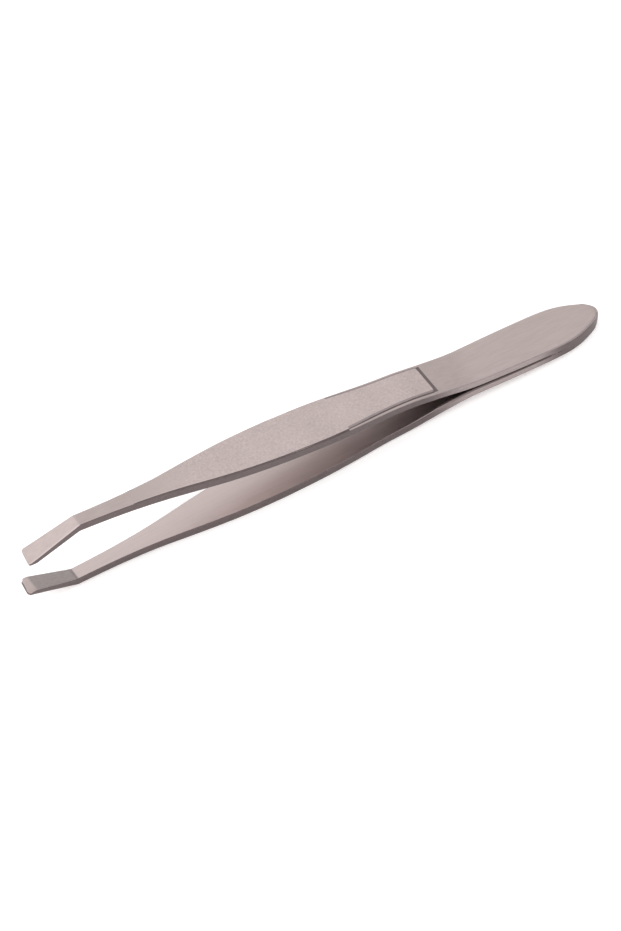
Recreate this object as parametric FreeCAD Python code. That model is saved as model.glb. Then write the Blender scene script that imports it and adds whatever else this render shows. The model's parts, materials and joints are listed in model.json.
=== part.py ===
import FreeCAD, Part
import math
import os

# Slant tweezers for brows and lashes: two mirror-image leaves of spring steel strip, pressed to shape,
# laid back to back and resistance-welded at the butt. Each leaf is one strip on the real tool. It is
# written here as three lengths, because each behaves as a piece of its own: the welded tail holds still,
# the spring length flexes, and the blade, with its grip panel and bent tip, swings as the tool is squeezed.
#
# The leaves are drawn about the tool's mid-plane first: s runs from the foremost corner of the tips back
# to the butt, y across the strip, and z out from the mid-plane. The finished tool is then laid on its
# lower leaf, so that its grip panel and the heel of its butt both stand on z = 0. +X runs to the butt and
# -Y is the side where the slanted tips reach further forward. The origin is on the face that it stands
# on, under the middle of the tool's length.

# Overall
length = 95.0              # foremost tip corner to the end of the butt, along the mid-plane
arm_spread = 3.55          # degrees between each relaxed blade and the mid-plane

# Strip thickness, measured square to the strip
stock = 1.34               # blade and tail
bend_thickness = 1.30      # where the tip is bent
tip_end_thickness = 0.39   # between the two edges of the end facet

# Outline: full widths, and the lengths between them, from the tips back
tip_width = 2.90           # at the working edge
neck_width = 2.08          # at the tip bend, where the strip is narrowest
grip_width = 7.20          # widest part of the blade
waist_width = 6.20
tail_width = 7.20
tip_length = 7.90          # foremost corner to the tip bend
grip_length = 2.60         # stretch that keeps the widest width
waist_length = 13.00       # widest part to the waist
tail_length = 25.70        # waist to where the butt starts to round
butt_length = 8.80         # rounded end of the butt
butt_fullness = 0.47       # handle of the butt's curve: 0.55 is an ellipse, less is more pointed

# Tip
tip_turn = 21.0            # degrees that the tip is bent inwards from the blade
slant = 9.0                # degrees between the working edge and square across
facet_length = 0.93        # end facet, measured along the mid-plane
bend_radius = 1.0          # inside of the tip bend
tip_clearance = 0.02       # half of what is left between the tips when the tool is squeezed shut

# Welded tail, spring length and shoulder
weld_length = 9.50         # butt end of the leaves that is pressed and welded together
hairline_length = 14.0     # thin wedge of air ahead of the weld
hairline_gap = 0.12        # half of its opening at the front
shoulder_length = 10.0     # stretch that steps outwards from the tail to the blade
shoulder_radius = 40.0
butt_roll = 1.10           # radius rolled onto the outer edge of the butt
gentle_radius = 200.0      # eases the slight turns at the weld and where the blade starts to thin

# Grip panel, raised on the outer face of each blade
panel_rise = 0.28
panel_land = 0.42          # strip of blade left bare along each side of the panel
panel_rear = 4.90          # panel's square rear end, behind the waist
panel_front = 8.60         # panel's front end, behind the tip bend
panel_fade = 8.0           # stretch over which the panel rises from the blade at its front end
blade_margin = 1.0         # blade carries on this far behind the panel before the spring length starts

# Weld nuggets, lens-shaped, half in each tail
nugget_diameter = 2.40
nugget_depth = 0.45        # into each tail
nugget_pitch = 3.60
nugget_inset = 5.40        # butt end to the middle of the pair

# Places along the tool, from the foremost tip corner
bend_at = tip_length
tail_at = length - butt_length
waist_at = tail_at - tail_length
grip_rear_at = waist_at - waist_length
grip_front_at = grip_rear_at - grip_length
weld_at = length - weld_length
shoulder_rear_at = weld_at - hairline_length
shoulder_front_at = shoulder_rear_at - shoulder_length
panel_rear_at = waist_at + panel_rear
panel_front_at = bend_at + panel_front
blade_rear_at = panel_rear_at + blade_margin

# The side view runs a hair past the butt, so that the rolled edge meets the rounded end cleanly. The
# tool stands on this roll and on its grip panel, which sets how far apart the blades stand.
run_past = 0.10
roll_at = length + run_past - butt_roll
roll_height = stock - butt_roll
slope = math.tan(math.radians(arm_spread))
tip_slope = math.tan(math.radians(tip_turn - arm_spread))
slant_slope = math.tan(math.radians(slant))
grip_thickness = stock + panel_rise

margin = 20.0              # how far cutting tools reach past the solid that they cut


def blade_height(s):
    """Half the gap between the relaxed blades at s."""
    rest = roll_height + (roll_at - s) * slope
    return rest + (butt_roll - grip_thickness) / math.cos(math.radians(arm_spread))


def at(s, z, y=0.0):
    return FreeCAD.Vector(s, y, z)


def thickness_up(thickness, degrees):
    """How far a sloping strip of this thickness reaches along z."""
    return thickness / math.cos(math.radians(degrees))


# Working edge at the middle of the strip. The tip's -Y corner stands further forward, by the slant.
outer_edge_at = tip_width / 2 * slant_slope
inner_edge_at = outer_edge_at + facet_length
bend_height = blade_height(bend_at)
inner_edge_height = bend_height - (bend_at - inner_edge_at) * tip_slope
facet_rise = thickness_up(tip_end_thickness, tip_turn - arm_spread)

# Each blade swings about the middle of its spring length until the tips meet on their ground edges. The
# corner of the inner edge that stands furthest from the mid-plane sets how far.
pivot_at = (blade_rear_at + weld_at) / 2
pivot_height = hairline_gap * (weld_at - pivot_at) / hairline_length + stock / 2
corner_back = tip_width / 2 * slant_slope
edge_corner = at(inner_edge_at + corner_back, inner_edge_height + corner_back * tip_slope)
corner_reach = math.hypot(pivot_at - edge_corner.x, edge_corner.z - pivot_height)
corner_angle = math.atan2(edge_corner.z - pivot_height, pivot_at - edge_corner.x)
closing = corner_angle + math.asin((pivot_height - tip_clearance) / corner_reach)


def rounded_path(points, radii):
    """Straight runs through the points, with an arc of the given radius at each inner point."""
    edges = []
    start = points[0]
    for corner, following, radius in zip(points[1:], points[2:], radii):
        into = (corner - start).normalize()
        out = (following - corner).normalize()
        turn = into.getAngle(out)
        reach = radius * math.tan(turn / 2)
        first = corner - into * reach
        last = corner + out * reach
        bisector = (out - into).normalize()
        middle = corner + bisector * (radius / math.cos(turn / 2) - radius)
        edges.append(Part.LineSegment(start, first).toShape())
        edges.append(Part.Arc(first, middle, last).toShape())
        start = last
    edges.append(Part.LineSegment(start, points[-1]).toShape())
    return edges


def leaf_side():
    """Side view of the upper leaf, from the butt to past the tip, as a closed face."""
    run_on = facet_length + margin / 4
    inner = [
        at(length + run_past, 0),
        at(weld_at, 0),
        at(shoulder_rear_at, hairline_gap),
        at(shoulder_front_at, blade_height(shoulder_front_at)),
        at(bend_at, bend_height),
        at(inner_edge_at - run_on, inner_edge_height - run_on * tip_slope),
    ]
    shoulder_turn = math.degrees(
        math.atan((blade_height(shoulder_front_at) - hairline_gap) / shoulder_length))
    tip_end_rise = facet_rise + facet_length * tip_slope
    bend_rise = thickness_up(bend_thickness, arm_spread)
    taper = (bend_rise - tip_end_rise) / (bend_at - outer_edge_at)
    rises = [
        stock,
        stock,
        thickness_up(stock, shoulder_turn / 2),
        thickness_up(stock, shoulder_turn / 2),
        bend_rise,
        tip_end_rise - taper * (run_on - facet_length),
    ]
    outer = [point + FreeCAD.Vector(0, 0, rise) for point, rise in zip(inner, rises)]
    # The blade thins only ahead of the panel, so its outer face has one more point there.
    thinning = at(panel_front_at, blade_height(panel_front_at) + thickness_up(stock, arm_spread))
    outer.insert(4, thinning)
    outer.insert(0, inner[0])
    inner_radii = [gentle_radius, shoulder_radius + stock, shoulder_radius, bend_radius]
    outer_radii = [butt_roll, gentle_radius, shoulder_radius, shoulder_radius + stock, gentle_radius,
                   bend_radius + bend_thickness]
    edges = rounded_path(inner, inner_radii)
    edges.append(Part.LineSegment(inner[-1], outer[-1]).toShape())
    edges += rounded_path(outer, outer_radii)
    return Part.Face(Part.Wire(Part.__sortEdges__(edges)))


def ease(start, end):
    """Curve between two outline points that leaves and arrives parallel to the strip."""
    middle = (start.x + end.x) / 2
    curve = Part.BezierCurve()
    curve.setPoles([start, at(middle, 0, start.y), at(middle, 0, end.y), end])
    return curve.toShape()


def outline(inset, front, rear):
    """Plan of the leaf, with its sides moved in, as a face that is cut square at front and rear."""
    neck = at(bend_at, 0, neck_width / 2 - inset)
    grip_front = at(grip_front_at, 0, grip_width / 2 - inset)
    grip_rear = at(grip_rear_at, 0, grip_width / 2 - inset)
    waist = at(waist_at, 0, waist_width / 2 - inset)
    tail = at(tail_at, 0, tail_width / 2 - inset)
    butt = at(length - inset, 0)
    flare = (tip_width - neck_width) / 2 / (bend_at - outer_edge_at)
    ahead = at(-margin / 4, 0, neck.y + (bend_at + margin / 4) * flare)
    end = Part.BezierCurve()
    end.setPoles([
        tail,
        at(tail.x + (butt.x - tail.x) * butt_fullness, 0, tail.y),
        at(butt.x, 0, tail.y * butt_fullness),
        butt,
    ])
    side = [
        Part.LineSegment(ahead, neck).toShape(),
        ease(neck, grip_front),
        Part.LineSegment(grip_front, grip_rear).toShape(),
        ease(grip_rear, waist),
        ease(waist, tail),
        end.toShape(),
    ]
    other_side = [edge.mirror(FreeCAD.Vector(), FreeCAD.Vector(0, 1, 0)) for edge in side]
    across = Part.LineSegment(ahead, at(ahead.x, 0, -ahead.y)).toShape()
    face = Part.Face(Part.Wire(Part.__sortEdges__(side + other_side + [across])))
    window = Part.makePlane(rear - front, 2 * margin, at(front, 0, -margin))
    return face.common(window)


def prism(face, low, high):
    """A plan face swept from z = low to z = high."""
    solid = face.extrude(FreeCAD.Vector(0, 0, high - low))
    solid.translate(FreeCAD.Vector(0, 0, low))
    return solid


def panel():
    """Grip panel: the leaf's outline moved in by the land, raised square to the blade's outer face."""
    plan = prism(outline(panel_land, panel_front_at, panel_rear_at), -margin, margin)
    base = thickness_up(stock / 2, arm_spread)
    face = thickness_up(stock, arm_spread)
    top = thickness_up(grip_thickness, arm_spread)
    rises = [(panel_front_at, base), (panel_front_at, face), (panel_front_at + panel_fade, top),
             (panel_rear_at + margin, top), (panel_rear_at + margin, base)]
    corners = [at(s, blade_height(s) + rise) for s, rise in rises]
    slab = Part.Face(Part.makePolygon(corners + corners[:1])).extrude(FreeCAD.Vector(0, 2 * margin, 0))
    slab.translate(FreeCAD.Vector(0, -margin, 0))
    return plan.common(slab)


def end_facet():
    """What is ground away ahead of the slanted end facet."""
    inner_edge = at(inner_edge_at, inner_edge_height)
    outer_edge = at(outer_edge_at, inner_edge_height + facet_rise)
    along = (outer_edge - inner_edge).normalize()
    below = inner_edge - along * margin
    above = outer_edge + along * margin
    ahead = FreeCAD.Vector(-2 * margin, 0, 0)
    corners = [below, above, above + ahead, below + ahead]
    across = FreeCAD.Vector(slant_slope, 1, slant_slope * tip_slope) * margin
    face = Part.Face(Part.makePolygon(corners + corners[:1]))
    face.translate(across * -1)
    return face.extrude(across * 2)


def meeting_land():
    """What is ground off the inner edge, so that the squeezed tips meet flat along their whole width."""
    forward = FreeCAD.Vector(-math.cos(closing), 0, math.sin(closing))
    ahead = edge_corner + forward * margin
    behind = edge_corner - forward * (bend_at - edge_corner.x)
    below = FreeCAD.Vector(0, 0, -margin)
    corners = [ahead, behind, behind + below, ahead + below]
    face = Part.Face(Part.makePolygon(corners + corners[:1]))
    face.translate(FreeCAD.Vector(0, -margin, 0))
    return face.extrude(FreeCAD.Vector(0, 2 * margin, 0))


def upper_leaf():
    """The whole upper leaf, from tip to butt, about the mid-plane."""
    side = leaf_side().extrude(FreeCAD.Vector(0, 2 * margin, 0))
    side.translate(FreeCAD.Vector(0, -margin, 0))
    strip = prism(outline(0.0, -margin / 4, length), -margin, margin).common(side)
    return strip.fuse(panel()).cut(end_facet()).cut(meeting_land()).removeSplitter()


def nuggets():
    """Two lenses of fused metal on the centre line of the butt, across the joint between the tails."""
    lenses = []
    for step in (-0.5, 0.5):
        centre = at(length - nugget_inset + step * nugget_pitch, 0)
        rim = centre + FreeCAD.Vector(nugget_diameter / 2, 0, 0)
        top = centre + FreeCAD.Vector(0, 0, nugget_depth)
        bottom = centre - FreeCAD.Vector(0, 0, nugget_depth)
        bulge = Part.Arc(top, rim, bottom).toShape()
        core = Part.LineSegment(bottom, top).toShape()
        section = Part.Face(Part.Wire([bulge, core]))
        lenses.append(section.revolve(centre, FreeCAD.Vector(0, 0, 1), 360))
    return Part.makeCompound(lenses)


def stretch(leaf, front, rear):
    """The length of a leaf between two places along the tool."""
    box = Part.makeBox(rear - front, 2 * margin, 2 * margin, at(front, -margin, -margin))
    return leaf.common(box)


def lay_down(shape):
    """Level the lower panel by turning the tool about its butt, then bring the origin under its middle."""
    shape = shape.copy()
    shape.rotate(at(roll_at, -roll_height), FreeCAD.Vector(0, 1, 0), arm_spread)
    shape.translate(at(-length / 2, roll_height + butt_roll))
    return shape


def build():
    """Every node of the tool, by name."""
    leaf = upper_leaf()
    weld = nuggets()
    lengths = {
        "blade": stretch(leaf, -margin, blade_rear_at),
        "spring": stretch(leaf, blade_rear_at, weld_at),
        "tail": stretch(leaf, weld_at, length + margin).cut(weld),
    }
    nodes = {"weld_nuggets": weld}
    for name, solid in lengths.items():
        nodes["upper_" + name] = solid
        nodes["lower_" + name] = solid.mirror(FreeCAD.Vector(), FreeCAD.Vector(0, 0, 1))
    return {name: lay_down(shape) for name, shape in nodes.items()}


os.makedirs("parts", exist_ok=True)
for name, shape in build().items():
    shape.exportStep("parts/" + name + ".step")
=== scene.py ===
import bpy
import bmesh
import json
import math
from mathutils import Matrix, Vector


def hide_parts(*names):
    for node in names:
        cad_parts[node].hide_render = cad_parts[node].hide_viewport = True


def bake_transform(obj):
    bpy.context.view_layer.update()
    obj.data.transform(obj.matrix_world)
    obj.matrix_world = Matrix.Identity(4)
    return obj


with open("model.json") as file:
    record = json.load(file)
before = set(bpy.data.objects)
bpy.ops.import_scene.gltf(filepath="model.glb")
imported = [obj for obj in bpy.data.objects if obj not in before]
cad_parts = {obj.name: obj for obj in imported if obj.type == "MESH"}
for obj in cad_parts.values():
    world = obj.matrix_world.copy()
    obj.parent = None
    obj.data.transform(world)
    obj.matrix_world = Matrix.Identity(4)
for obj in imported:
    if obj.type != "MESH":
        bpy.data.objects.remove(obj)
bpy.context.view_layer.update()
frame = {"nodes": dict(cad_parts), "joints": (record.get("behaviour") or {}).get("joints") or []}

# ---------------------------------------------------------------------------------------------------
# Upper leaf. One strip of 1.34 mm stainless spring steel, blanked to a slim outline and coined to raise
# the grip panel, with the tip bent inwards and ground to a slanted edge. Its butt end is pressed flat
# against the other leaf and welded to it, and the whole leaf is tumbled until its edges are soft.
# ---------------------------------------------------------------------------------------------------
mm = 0.001

# Places along the leaf, from the foremost tip corner back to the butt
ground_end = 7.45
tip_bend = 7.9
panel_front = 16.5
panel_full = 24.5
widest_front = 44.9
widest_rear = 47.5
rim_start = 50.5
waist = 60.5
shoulder_front = 61.5
panel_rear = 65.4
groove_front = panel_rear + 0.08
groove_rear = panel_rear + 0.15
gap_narrow = 66.0
shoulder_rear = 71.5
gap_end = 84.0
weld_front = 85.5
butt_front = 86.2
butt_end = 95.0

# Half widths there
tip_half = 1.45
neck_half = 1.04
widest_half = 3.60
waist_half = 3.10
tail_half = 3.60

# Side view. Each leaf leans out from the mid-plane, and the tip turns back in.
lean = math.radians(3.55)
tip_turn = math.radians(21.0)
tip_slope = math.tan(tip_turn - lean)
slant_slope = math.tan(math.radians(9.0))
stock = 1.34
bend_thickness = 1.30
tip_end_thickness = 0.39
facet_length = 0.93
panel_rise = 0.28
groove_depth = 0.14
butt_roll = 1.10
roll_at = 94.0
roll_height = stock - butt_roll
hairline = 0.15
outer_edge = tip_half * slant_slope
inner_edge = outer_edge + facet_length
facet_rise = tip_end_thickness / math.cos(tip_turn - lean)


def line_through(points, s):
    """Height at s on a run of straight lines through the points."""
    for (front, low), (rear, high) in zip(points, points[1:]):
        if s <= rear:
            return low + (high - low) * (s - front) / (rear - front)
    return points[-1][1]


def blade_height(s):
    """Half of the gap between the relaxed blades at s."""
    rest = roll_height + (roll_at - s) * math.tan(lean)
    return rest + (butt_roll - stock - panel_rise) / math.cos(lean)


# Heights of the inner face above the mid-plane, thickness of the strip, width of the land beside the
# panel and half width of the butt, each from place to place
inner_line = [
    (-2.0, blade_height(tip_bend) - (tip_bend + 2.0) * tip_slope),
    (tip_bend, blade_height(tip_bend)),
    (shoulder_front, blade_height(shoulder_front)),
    (shoulder_rear, hairline),
    (weld_front, 0.0),
    (butt_end + 2.0, 0.0),
]
tip_end_rise = facet_rise + facet_length * tip_slope + 0.12
bend_rise = bend_thickness / math.cos(lean)
rise_line = [
    (-2.0, tip_end_rise),
    (outer_edge, tip_end_rise),
    (tip_bend, bend_rise),
    (panel_front, stock / math.cos(lean)),
    (shoulder_rear, stock * 1.006),
    (weld_front, stock),
    (butt_end + 2.0, stock),
]
land_line = [
    (-2.0, 0.26),
    (tip_bend, 0.24),
    (panel_front, 0.17),
    (24.0, 0.15),
    (45.0, 0.15),
    (50.0, 0.21),
    (55.0, 0.30),
    (panel_rear, 0.38),
    (groove_front, 0.26),
    (groove_rear, 0.26),
    (68.6, 0.40),
    (butt_end, 0.60),
]
butt_line = [(butt_front, tail_half), (88.4, 3.52), (91.0, 2.98), (93.55, 1.85), (butt_end, 0.42)]


def across(s, front, rear, front_half, rear_half):
    """Half width on a side that leaves and arrives parallel to the leaf."""
    share = (s - front) / (rear - front)
    low, high = 0.0, 1.0
    for _ in range(30):
        turn = (low + high) / 2
        if turn * (1.5 - 1.5 * turn + turn * turn) < share:
            low = turn
        else:
            high = turn
    return front_half + (rear_half - front_half) * low * low * (3 - 2 * low)


def half_width(s):
    """Half width of the leaf at s."""
    if s <= tip_bend:
        return neck_half + (tip_half - neck_half) * (tip_bend - s) / (tip_bend - outer_edge)
    if s <= widest_front:
        return across(s, tip_bend, widest_front, neck_half, widest_half)
    if s <= widest_rear:
        return widest_half
    if s <= waist:
        return across(s, widest_rear, waist, widest_half, waist_half)
    if s <= butt_front:
        return across(s, waist, butt_front, waist_half, tail_half)
    return line_through(butt_line, s)


def pick(kind, test):
    """Selects only those corners, edges or faces of the piece in edit mode that pass the test."""
    bpy.ops.mesh.select_mode(type={"verts": "VERT", "edges": "EDGE", "faces": "FACE"}[kind])
    bpy.ops.mesh.select_all(action="DESELECT")
    mesh = bmesh.from_edit_mesh(bpy.context.edit_object.data)
    for part in getattr(mesh, kind):
        if not part.hide and test(part):
            part.select_set(True)
    mesh.select_flush_mode()
    bmesh.update_edit_mesh(bpy.context.edit_object.data)


def middle(part):
    """Middle of an edge or face, in millimetres."""
    return sum((v.co for v in part.verts), Vector()) / len(part.verts) / mm


def section(s):
    """Half width, half width of its inner columns, and lower and upper heights of the leaf at s."""
    half = half_width(s)
    low = line_through(inner_line, s)
    return half, half - line_through(land_line, s), low, low + line_through(rise_line, s)


# The blank starts as a block at the tip, gets its inner columns, and is drawn out rib by rib.
block_front = -1.0
block_rear = 1.6
ribs = [
    2.6, 5.2, 7.3, ground_end, 7.6, tip_bend, 8.2, 10.5, 13.5,
    panel_front, 19.2, 21.8, panel_full, 28.5, 32.5, 36.5, 40.5, widest_front,
    widest_rear, rim_start, 53.5, 56.5, 59.0, shoulder_front, 63.5, panel_rear - 0.40,
    panel_rear, groove_front, groove_rear, 68.6, shoulder_rear, 74.5, 78.0, 82.0,
    weld_front, 88.4, 91.0, 93.55,
]
half, column, low, high = section(block_front)
bpy.ops.object.select_all(action="DESELECT")
bpy.ops.mesh.primitive_cube_add(size=1.0)
upper_leaf = bpy.context.object
upper_leaf.name = "upper_leaf"
upper_leaf.data.name = "upper_leaf"
bpy.ops.object.mode_set(mode="EDIT")
bpy.ops.transform.translate(value=(0.5, 0, 0.5))
bpy.ops.transform.resize(
    value=((block_rear - block_front) * mm, 2 * half * mm, (high - low) * mm), center_override=(0, 0, 0))
bpy.ops.transform.translate(value=(block_front * mm, 0, low * mm))
for share in (-1, -0.5, 0, 0.5, 1):
    bpy.ops.mesh.select_all(action="SELECT")
    bpy.ops.mesh.bisect(plane_co=(0, share * column * mm, 0), plane_no=(0, 1, 0))


def size_rib(s, before):
    """Brings the rear face, which is at s with the section before, to the leaf's own section there."""
    old_half, old_column, old_low, old_high = before
    half, column, low, high = section(s)
    place = (s * mm, 0, (low + high) / 2 * mm)
    pick("faces", lambda f: f.normal.x > 0.9)
    bpy.ops.transform.translate(value=(0, 0, (low + high - old_low - old_high) / 2 * mm))
    bpy.ops.transform.resize(
        value=(1, half / old_half, (high - low) / (old_high - old_low)), center_override=place)
    pick("verts", lambda v: v.co.x / mm > s - 0.01 and abs(v.co.y / mm) < half - 0.05)
    bpy.ops.transform.resize(value=(1, column * old_half / half / old_column, 1), center_override=place)
    pick("faces", lambda f: f.normal.x > 0.9)


size_rib(block_rear, section(block_front))
drawn = block_rear
for s in ribs:
    bpy.ops.mesh.extrude_region_move(TRANSFORM_OT_translate={"value": ((s - drawn) * mm, 0, 0)})
    size_rib(s, section(drawn))
    drawn = s

# The butt's end is drawn out to a round point, the middle of the last rib furthest.
for inner, outer, further in ((0.0, 0.1, 1.60), (0.5, 0.8, 1.43), (1.0, 1.5, 0.80)):
    pick("verts", lambda v: v.co.x / mm > ribs[-1] - 0.05 and inner <= abs(v.co.y / mm) < outer)
    bpy.ops.transform.translate(value=(further * mm, 0, 0))

# The tip is cut off at a slant, and its inner end is ground flat, so that the two tips meet along it when
# each arm has turned through the closing angle.
nose = outer_edge - 0.28
meeting_start = inner_edge - tip_half * slant_slope
closing = math.radians(2.30)
slant_across = Vector((slant_slope, 1, slant_slope * tip_slope))
bpy.ops.mesh.select_all(action="SELECT")
bpy.ops.mesh.bisect(
    plane_co=(nose * mm, 0, line_through(inner_line, nose) * mm),
    plane_no=slant_across.cross(Vector((-tip_slope, 0, 1))), use_fill=True, clear_inner=True)
pick("faces", lambda f: middle(f).x < tip_bend)
bpy.ops.mesh.bisect(
    plane_co=(meeting_start * mm, 0, line_through(inner_line, meeting_start) * mm),
    plane_no=(math.sin(closing), 0, math.cos(closing)), use_fill=True, clear_inner=True)
for loop in (meeting_start - 0.10, meeting_start + 0.10):  # they hold the edge of the flat crisp
    bpy.ops.mesh.select_all(action="SELECT")
    bpy.ops.mesh.bisect(plane_co=(loop * mm, 0, 0), plane_no=(1, 0, 0))

# Tumbling rounds every sharp edge a little, and the tip's corners and the outer edge of the butt most.
largest_round = 0.60
square_edge = math.radians(35)


def soften(radius, test):
    """Sets the radius that the tumbling will give the edges passing the test."""
    pick("edges", lambda e: e.calc_face_angle() > square_edge and test(e))
    bpy.ops.transform.edge_bevelweight(value=-1)
    bpy.ops.transform.edge_bevelweight(value=radius / largest_round)


def on_outer_face(e):
    """Whether an edge borders the outer face."""
    return any(f.normal.z > 0.85 for f in e.link_faces)


def on_nose(e):
    """Whether an edge borders the slanted end of the tip."""
    return any(f.normal.x < -0.6 and middle(f).x < 2 for f in e.link_faces)


soften(0.08, lambda e: True)
soften(0.38, lambda e: not on_outer_face(e) and 62 < middle(e).x < gap_end)
soften(0.00, lambda e: not on_outer_face(e) and middle(e).x > gap_end)
for radius, front, rear in (
        (0.16, 2.0, 24.0), (0.12, 24.0, 48.0), (0.20, 48.0, 68.0), (0.30, 68.0, 83.0),
        (0.36, 83.0, 85.5), (0.46, 85.5, 88.4), (0.55, 88.4, butt_end + 2.0)):
    soften(radius, lambda e: on_outer_face(e) and front < middle(e).x < rear)
soften(0.10, lambda e: on_nose(e) and on_outer_face(e))
soften(0.04, lambda e: on_nose(e) and not on_outer_face(e))
soften(0.60, lambda e: on_nose(e) and any(abs(f.normal.y) > 0.9 for f in e.link_faces))
bpy.ops.object.mode_set(mode="OBJECT")
edge_round = upper_leaf.modifiers.new("tumbled_edges", "BEVEL")
edge_round.width = largest_round * mm
edge_round.segments = 3
edge_round.limit_method = "WEIGHT"
edge_round.use_clamp_overlap = False
bpy.ops.object.modifier_apply(modifier=edge_round.name)

# Behind the gap the leaves' inner edges stay sharp, and close on each other without a seam.
bpy.ops.object.mode_set(mode="EDIT")
pick("edges", lambda e: e.calc_face_angle() > square_edge and middle(e).x > 82
     and any(f.normal.z < -0.9 for f in e.link_faces))
bpy.ops.transform.edge_crease(value=1)
bpy.ops.mesh.mark_sharp()

# Coining raises the panel on the outer face, fading out towards the neck, with a fine groove behind it.


def between_columns(f):
    """Whether a face lies between the outer ones of the leaf's inner columns."""
    return all(abs(v.co.y / mm) < section(v.co.x / mm)[1] + 0.02 for v in f.verts)


def on_panel(v, s):
    """Whether a corner is on the raised face of the panel, at s."""
    return abs(v.co.x / mm - s) < 0.01 and v.co.z / mm > section(s)[3] + 0.2


pick("faces", lambda f: f.normal.z > 0.9 and panel_front < middle(f).x < panel_rear and between_columns(f))
bpy.ops.mesh.extrude_region_move(TRANSFORM_OT_translate={"value": (0, 0, panel_rise * mm)})
for s, share in ((panel_front, 0.01), (19.2, 0.28), (21.8, 0.68)):
    pick("verts", lambda v: on_panel(v, s))
    bpy.ops.transform.translate(value=(0, 0, (share - 1) * panel_rise * mm))


def raised(f):
    """Whether a face is the raised face of the panel."""
    return (f.normal.z > 0.9 and panel_front < middle(f).x < panel_rear
            and all(v.co.z / mm > section(v.co.x / mm)[3] + 0.001 for v in f.verts))


pick("faces", raised)
bpy.ops.mesh.inset(thickness=0.12 * mm, depth=0)
rim_shift = 0.13
for side in (-1, 1):
    pick("verts", lambda v: rim_start + 1.5 < v.co.x / mm < panel_rear + 0.05
         and v.co.z / mm > section(v.co.x / mm)[3] + 0.2
         and side * v.co.y / mm > section(v.co.x / mm)[1] - 0.20)
    bpy.ops.transform.translate(value=(0, -side * rim_shift * mm, 0))
pick("verts", lambda v: abs(v.co.x / mm - groove_front) < 0.01 and v.normal.z > 0.5
     and abs(v.co.y / mm) < section(panel_rear)[1] + 0.02)
bpy.ops.transform.translate(value=(0, 0, -groove_depth * mm))
bpy.ops.object.mode_set(mode="OBJECT")

# The finish changes along the leaf: satin faces, sheared flanks painted near black as shade, edge bevels
# painted mid grey as half shade, inner faces painted darker as shade between the leaves, a blasted panel and
# ground tips.


def steel(name, dark, light, rough_low, rough_high, grain, depth, stretch):
    """Bare steel whose grain, stretched along the leaf or not, varies its colour, gloss and height."""
    paint = bpy.data.materials.new(name)
    paint.use_nodes = True
    nodes = paint.node_tree.nodes
    links = paint.node_tree.links
    shader = nodes["Principled BSDF"]
    shader.inputs["Metallic"].default_value = 1.0
    place = nodes.new("ShaderNodeTexCoord")
    scale = nodes.new("ShaderNodeMapping")
    scale.inputs["Scale"].default_value = stretch
    links.new(place.outputs["Object"], scale.inputs["Vector"])
    fine = nodes.new("ShaderNodeTexNoise")
    fine.inputs["Scale"].default_value = grain
    fine.inputs["Detail"].default_value = 4.0
    fine.inputs["Roughness"].default_value = 0.6
    links.new(scale.outputs["Vector"], fine.inputs["Vector"])
    cloudy = nodes.new("ShaderNodeTexNoise")
    cloudy.inputs["Scale"].default_value = 160.0
    cloudy.inputs["Detail"].default_value = 3.0
    links.new(place.outputs["Object"], cloudy.inputs["Vector"])
    both = nodes.new("ShaderNodeMix")
    both.inputs["Factor"].default_value = 0.2
    links.new(fine.outputs["Fac"], both.inputs["A"])
    links.new(cloudy.outputs["Fac"], both.inputs["B"])
    tone = nodes.new("ShaderNodeValToRGB")
    tone.color_ramp.elements[0].position = 0.30
    tone.color_ramp.elements[0].color = (*dark, 1)
    tone.color_ramp.elements[1].position = 0.70
    tone.color_ramp.elements[1].color = (*light, 1)
    links.new(both.outputs["Result"], tone.inputs["Fac"])
    links.new(tone.outputs["Color"], shader.inputs["Base Color"])
    gloss = nodes.new("ShaderNodeMapRange")
    gloss.inputs["From Min"].default_value = 0.3
    gloss.inputs["From Max"].default_value = 0.7
    gloss.inputs["To Min"].default_value = rough_low
    gloss.inputs["To Max"].default_value = rough_high
    links.new(both.outputs["Result"], gloss.inputs["Value"])
    links.new(gloss.outputs["Result"], shader.inputs["Roughness"])
    relief = nodes.new("ShaderNodeBump")
    relief.inputs["Strength"].default_value = 1.0
    relief.inputs["Distance"].default_value = depth
    links.new(fine.outputs["Fac"], relief.inputs["Height"])
    links.new(relief.outputs["Normal"], shader.inputs["Normal"])
    return paint


satin = steel(
    "satin_steel", dark=(0.45, 0.385, 0.37), light=(0.53, 0.455, 0.44),
    rough_low=0.30, rough_high=0.42, grain=3600.0, depth=0.000004, stretch=(0.06, 1, 1))
blasted = steel(
    "blasted_panel_steel", dark=(0.46, 0.395, 0.38), light=(0.66, 0.565, 0.55),
    rough_low=0.38, rough_high=0.55, grain=3200.0, depth=0.000014, stretch=(1, 1, 1))
# Mid-grey steel, painted on the bevels as half shade.
half_shade_edge = steel(
    "half_shade_edge_steel", dark=(0.30, 0.255, 0.255), light=(0.38, 0.32, 0.32),
    rough_low=0.35, rough_high=0.50, grain=2600.0, depth=0.000006, stretch=(0.5, 1, 1))
# Near-black steel, painted on the flanks and the lower bevel faces as their shade.
flank_shade = steel(
    "flank_shade_steel", dark=(0.105, 0.083, 0.083), light=(0.17, 0.138, 0.135),
    rough_low=0.35, rough_high=0.60, grain=2600.0, depth=0.000008, stretch=(0.5, 1, 1))
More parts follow.
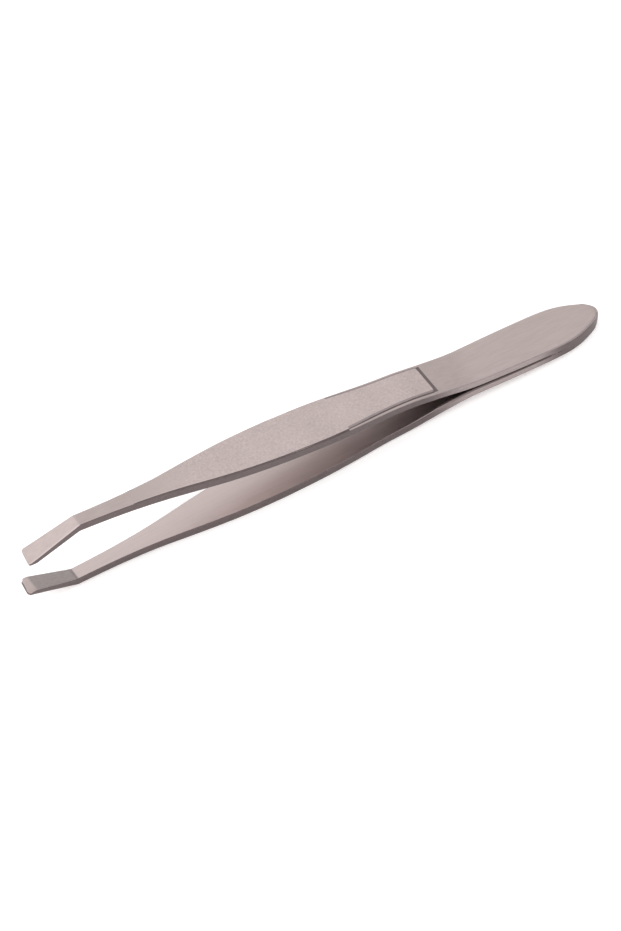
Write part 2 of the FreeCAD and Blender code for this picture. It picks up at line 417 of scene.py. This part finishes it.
# Inner face steel, painted darker towards the butt as shade between the leaves.
inner_face_shade = steel(
    "inner_face_shade_steel", dark=(0.52, 0.45, 0.435), light=(0.60, 0.515, 0.50),
    rough_low=0.30, rough_high=0.44, grain=3600.0, depth=0.000004, stretch=(0.06, 1, 1))
ground = steel(
    "ground_tip_steel", dark=(0.33, 0.295, 0.285), light=(0.46, 0.41, 0.40),
    rough_low=0.28, rough_high=0.42, grain=5200.0, depth=0.000004, stretch=(0.1, 1, 1))
for paint in (satin, blasted, half_shade_edge, flank_shade, inner_face_shade, ground):
    upper_leaf.data.materials.append(paint)


def rising(paint, start, end):
    """A share that rises smoothly from 0 to 1 along the leaf, from start to end."""
    nodes = paint.node_tree.nodes
    links = paint.node_tree.links
    place = nodes.new("ShaderNodeTexCoord")
    split = nodes.new("ShaderNodeSeparateXYZ")
    links.new(place.outputs["Object"], split.inputs["Vector"])
    rise = nodes.new("ShaderNodeMapRange")
    rise.interpolation_type = "SMOOTHSTEP"
    rise.inputs["From Min"].default_value = start
    rise.inputs["From Max"].default_value = end
    links.new(split.outputs["X"], rise.inputs["Value"])
    return rise.outputs["Result"]


def cover(paint, share, colour):
    """Covers a steel's own colour with another one, by that share."""
    links = paint.node_tree.links
    base = paint.node_tree.nodes["Principled BSDF"].inputs["Base Color"]
    covered = paint.node_tree.nodes.new("ShaderNodeMix")
    covered.data_type = "RGBA"
    covered.inputs["B"].default_value = (*colour, 1)
    links.new(share, covered.inputs["Factor"])
    links.new(base.links[0].from_socket, covered.inputs["A"])
    links.new(covered.outputs["Result"], base)


# The inner faces are painted darker towards the butt, as painted shade between the leaves.
cover(inner_face_shade, rising(inner_face_shade, -0.014, 0.034), (0.13, 0.10, 0.10))

# Along the tails the painted shade on the flanks is lightened to mid grey.
tail_flank_lightening = flank_shade.node_tree.nodes.new("ShaderNodeMath")
tail_flank_lightening.operation = "MULTIPLY"
flank_shade.node_tree.links.new(rising(flank_shade, 0.016, 0.024), tail_flank_lightening.inputs[0])
flank_shade.node_tree.links.new(rising(flank_shade, 0.040, 0.034), tail_flank_lightening.inputs[1])
cover(flank_shade, tail_flank_lightening.outputs["Value"], (0.33, 0.28, 0.275))

# The blasting is masked towards the neck, where the panel's speckle and relief fade into the satin.
masked = rising(blasted, -0.018, -0.031)
cover(blasted, masked, (0.48, 0.415, 0.40))
strength = blasted.node_tree.nodes.new("ShaderNodeMath")
strength.operation = "MULTIPLY_ADD"
strength.inputs[1].default_value = -0.75
strength.inputs[2].default_value = 1.0
blasted.node_tree.links.new(masked, strength.inputs[0])
blasted.node_tree.links.new(strength.outputs["Value"], blasted.node_tree.nodes["Bump"].inputs["Strength"])


def finish(paint, test):
    """Gives the faces that pass the test this finish."""
    pick("faces", test)
    bpy.context.object.active_material_index = bpy.context.object.data.materials.find(paint.name)
    bpy.ops.object.material_slot_assign()


bpy.ops.object.mode_set(mode="EDIT")
finish(inner_face_shade, lambda f: f.normal.z < -0.9)
# Bevel faces turned part way from the overhead light are painted mid grey as half shade.
finish(half_shade_edge, lambda f: -0.97 < f.normal.z < 0.75)
# Flanks and bevel faces turned further from the overhead light are painted near black as shade.
finish(flank_shade, lambda f: -0.80 < f.normal.z < 0.40)
# The inner edges' bevels along the gap take the same painted shade, so the gap shows as a dark line.
finish(inner_face_shade, lambda f: gap_narrow < middle(f).x < weld_front and f.normal.z < -0.3)
# The land beside the panel, the tip's bevels behind the bend, the step of the panel's rim and the groove
# behind the panel are painted dark as shade.
finish(flank_shade, lambda f: panel_front < middle(f).x < rim_start and f.normal.z > -0.5 and not raised(f)
       and abs(middle(f).y) > section(middle(f).x)[1] - 0.20)
finish(flank_shade, lambda f: tip_bend < middle(f).x < panel_front and -0.80 < f.normal.z < 0.85)
finish(flank_shade, lambda f: rim_start < middle(f).x < panel_rear and 0.2 < f.normal.z < 0.88 and not raised(f)
       and abs(middle(f).y) < section(middle(f).x)[1] + 0.05)
finish(satin, lambda f: panel_front - 0.5 < middle(f).x < panel_front + 0.5 and f.normal.z > -0.1
       and middle(f).z > section(middle(f).x)[3] - 0.01)
finish(flank_shade, lambda f: panel_rear < middle(f).x < groove_rear and f.normal.z > 0.2 and between_columns(f))
finish(blasted, raised)
# The panel's rim towards the rear is painted mid grey as half shade.
finish(half_shade_edge, lambda f: raised(f) and middle(f).x > rim_start
       and abs(middle(f).y) > section(middle(f).x)[1] - 0.22)
finish(ground, lambda f: meeting_start < middle(f).x < ground_end and f.normal.z < -0.6)
finish(satin, lambda f: middle(f).x < meeting_start and f.normal.z < -0.6)
bpy.ops.object.mode_set(mode="OBJECT")

smooth = upper_leaf.modifiers.new("smooth_curves", "SUBSURF")
smooth.levels = 2
smooth.render_levels = 2
bpy.ops.object.modifier_apply(modifier=smooth.name)
bpy.ops.object.shade_smooth()

# The lower leaf comes out of the same tools, so a second strip is set aside before this one is laid down.
bpy.ops.object.duplicate()
lower_leaf = bpy.context.object


def lay_down(leaf):
    """Tips a leaf about the butt's roll until the lower panel is level, and brings it over the origin."""
    bpy.ops.object.select_all(action="DESELECT")
    leaf.select_set(True)
    bpy.context.view_layer.objects.active = leaf
    bpy.ops.object.mode_set(mode="EDIT")
    bpy.ops.mesh.select_all(action="SELECT")
    bpy.ops.transform.rotate(
        value=-lean, orient_axis="Y", center_override=(roll_at * mm, 0, -roll_height * mm))
    bpy.ops.transform.translate(value=(-butt_end / 2 * mm, 0, stock * mm))
    bpy.ops.object.mode_set(mode="OBJECT")


lay_down(upper_leaf)
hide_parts("upper_blade", "upper_spring", "upper_tail")
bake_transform(upper_leaf)

# ---------------------------------------------------------------------------------------------------
# Lower leaf. A second strip of the same spring steel, blanked, coined and ground in the same tools. It is
# turned over, so that it mirrors the upper leaf, and its butt end is welded against that leaf's.
# ---------------------------------------------------------------------------------------------------
lower_leaf.name = "lower_leaf"
lower_leaf.data.name = "lower_leaf"
bpy.ops.object.select_all(action="DESELECT")
lower_leaf.select_set(True)
bpy.context.view_layer.objects.active = lower_leaf
bpy.ops.object.mode_set(mode="EDIT")
bpy.ops.mesh.select_all(action="SELECT")
bpy.ops.transform.resize(value=(1, 1, -1), center_override=(0, 0, 0))
bpy.ops.mesh.normals_make_consistent(inside=False)
bpy.ops.object.mode_set(mode="OBJECT")
lay_down(lower_leaf)
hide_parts("lower_blade", "lower_spring", "lower_tail")
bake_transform(lower_leaf)

# ---------------------------------------------------------------------------------------------------
# Weld. Two nuggets of fused steel inside the butt, where the two leaves were squeezed between copper
# electrodes. They are sealed between the tails and never seen.
# ---------------------------------------------------------------------------------------------------
fused = steel(
    "fused_weld_steel", dark=(0.20, 0.18, 0.18), light=(0.36, 0.33, 0.32),
    rough_low=0.45, rough_high=0.70, grain=2400.0, depth=0.00002, stretch=(1, 1, 1))
nuggets = frame["nodes"]["weld_nuggets"]
nuggets.data.materials.clear()
nuggets.data.materials.append(fused)

# ---------------------------------------------------------------------------------------------------
# Table top, soft light and camera. The tool lies on a plain pale sheet under one large overhead light, in
# a room that is brighter towards the tips than towards the butt.
# ---------------------------------------------------------------------------------------------------
bpy.ops.object.select_all(action="DESELECT")
bpy.ops.mesh.primitive_plane_add(size=6.0, location=(0, 0, -0.00003))
table_top = bpy.context.object
table_top.name = "table_top"
pale = bpy.data.materials.new("pale_table")
pale.use_nodes = True
shader = pale.node_tree.nodes["Principled BSDF"]
shader.inputs["Base Color"].default_value = (0.93, 0.93, 0.93, 1)
shader.inputs["Roughness"].default_value = 0.9
shader.inputs["Specular IOR Level"].default_value = 0.1
shader.inputs["Emission Color"].default_value = (1, 1, 1, 1)
shader.inputs["Emission Strength"].default_value = 0.20
table_top.data.materials.append(pale)

softbox = bpy.data.objects.new("overhead_softbox", bpy.data.lights.new("overhead_softbox", "AREA"))
softbox.data.shape = "RECTANGLE"
softbox.data.size = 1.6
softbox.data.size_y = 1.6
softbox.data.energy = 6.0
softbox.location = (-0.5, -0.3, 1.0)
softbox.rotation_euler = softbox.location.to_track_quat("Z", "Y").to_euler()
bpy.context.scene.collection.objects.link(softbox)

# The room's light falls off smoothly along the tool.
world = bpy.data.worlds.new("room")
world.use_nodes = True
bpy.context.scene.world = world
nodes = world.node_tree.nodes
links = world.node_tree.links
towards = nodes.new("ShaderNodeTexCoord")
split = nodes.new("ShaderNodeSeparateXYZ")
links.new(towards.outputs["Generated"], split.inputs["Vector"])
fall = nodes.new("ShaderNodeMapRange")
fall.inputs["From Min"].default_value = 0.2
fall.inputs["From Max"].default_value = 0.85
fall.inputs["To Min"].default_value = 1.16
fall.inputs["To Max"].default_value = 0.70
links.new(split.outputs["X"], fall.inputs["Value"])
nodes["Background"].inputs["Color"].default_value = (1.0, 0.985, 0.985, 1)
links.new(fall.outputs["Result"], nodes["Background"].inputs["Strength"])

# The camera looks from near the tips' side, from well above, at a point ahead of the two hinges.
azimuth = -32.14
elevation = 50.996
roll = -0.69
distance = 0.84385
ahead_of_hinges = 0.031054
sideways = 0.0012592
downwards = 0.0025629
camera = bpy.data.objects.new("camera", bpy.data.cameras.new("camera"))
bpy.context.scene.collection.objects.link(camera)
upper_hinge, lower_hinge = [Vector(joint["pos_m"]) for joint in frame["joints"]]
across_gap = (upper_hinge - lower_hinge).normalized()
backwards = Vector((across_gap.z, 0, -across_gap.x))
aim = (upper_hinge + lower_hinge) / 2 - backwards * ahead_of_hinges
turn = (Matrix.Rotation(math.radians(azimuth), 4, "Z")
        @ Matrix.Rotation(math.radians(90 - elevation), 4, "X")
        @ Matrix.Rotation(math.radians(roll), 4, "Z"))
right, up, back = [turn.to_3x3().col[axis] for axis in range(3)]
offset = right * sideways - up * downwards + back * distance
camera.matrix_world = Matrix.Translation(aim + offset) @ turn
camera.data.lens = 233.11
camera.data.clip_start = 0.01
camera.data.clip_end = 10
bpy.context.scene.camera = camera
bpy.context.scene.view_settings.view_transform = "Standard"
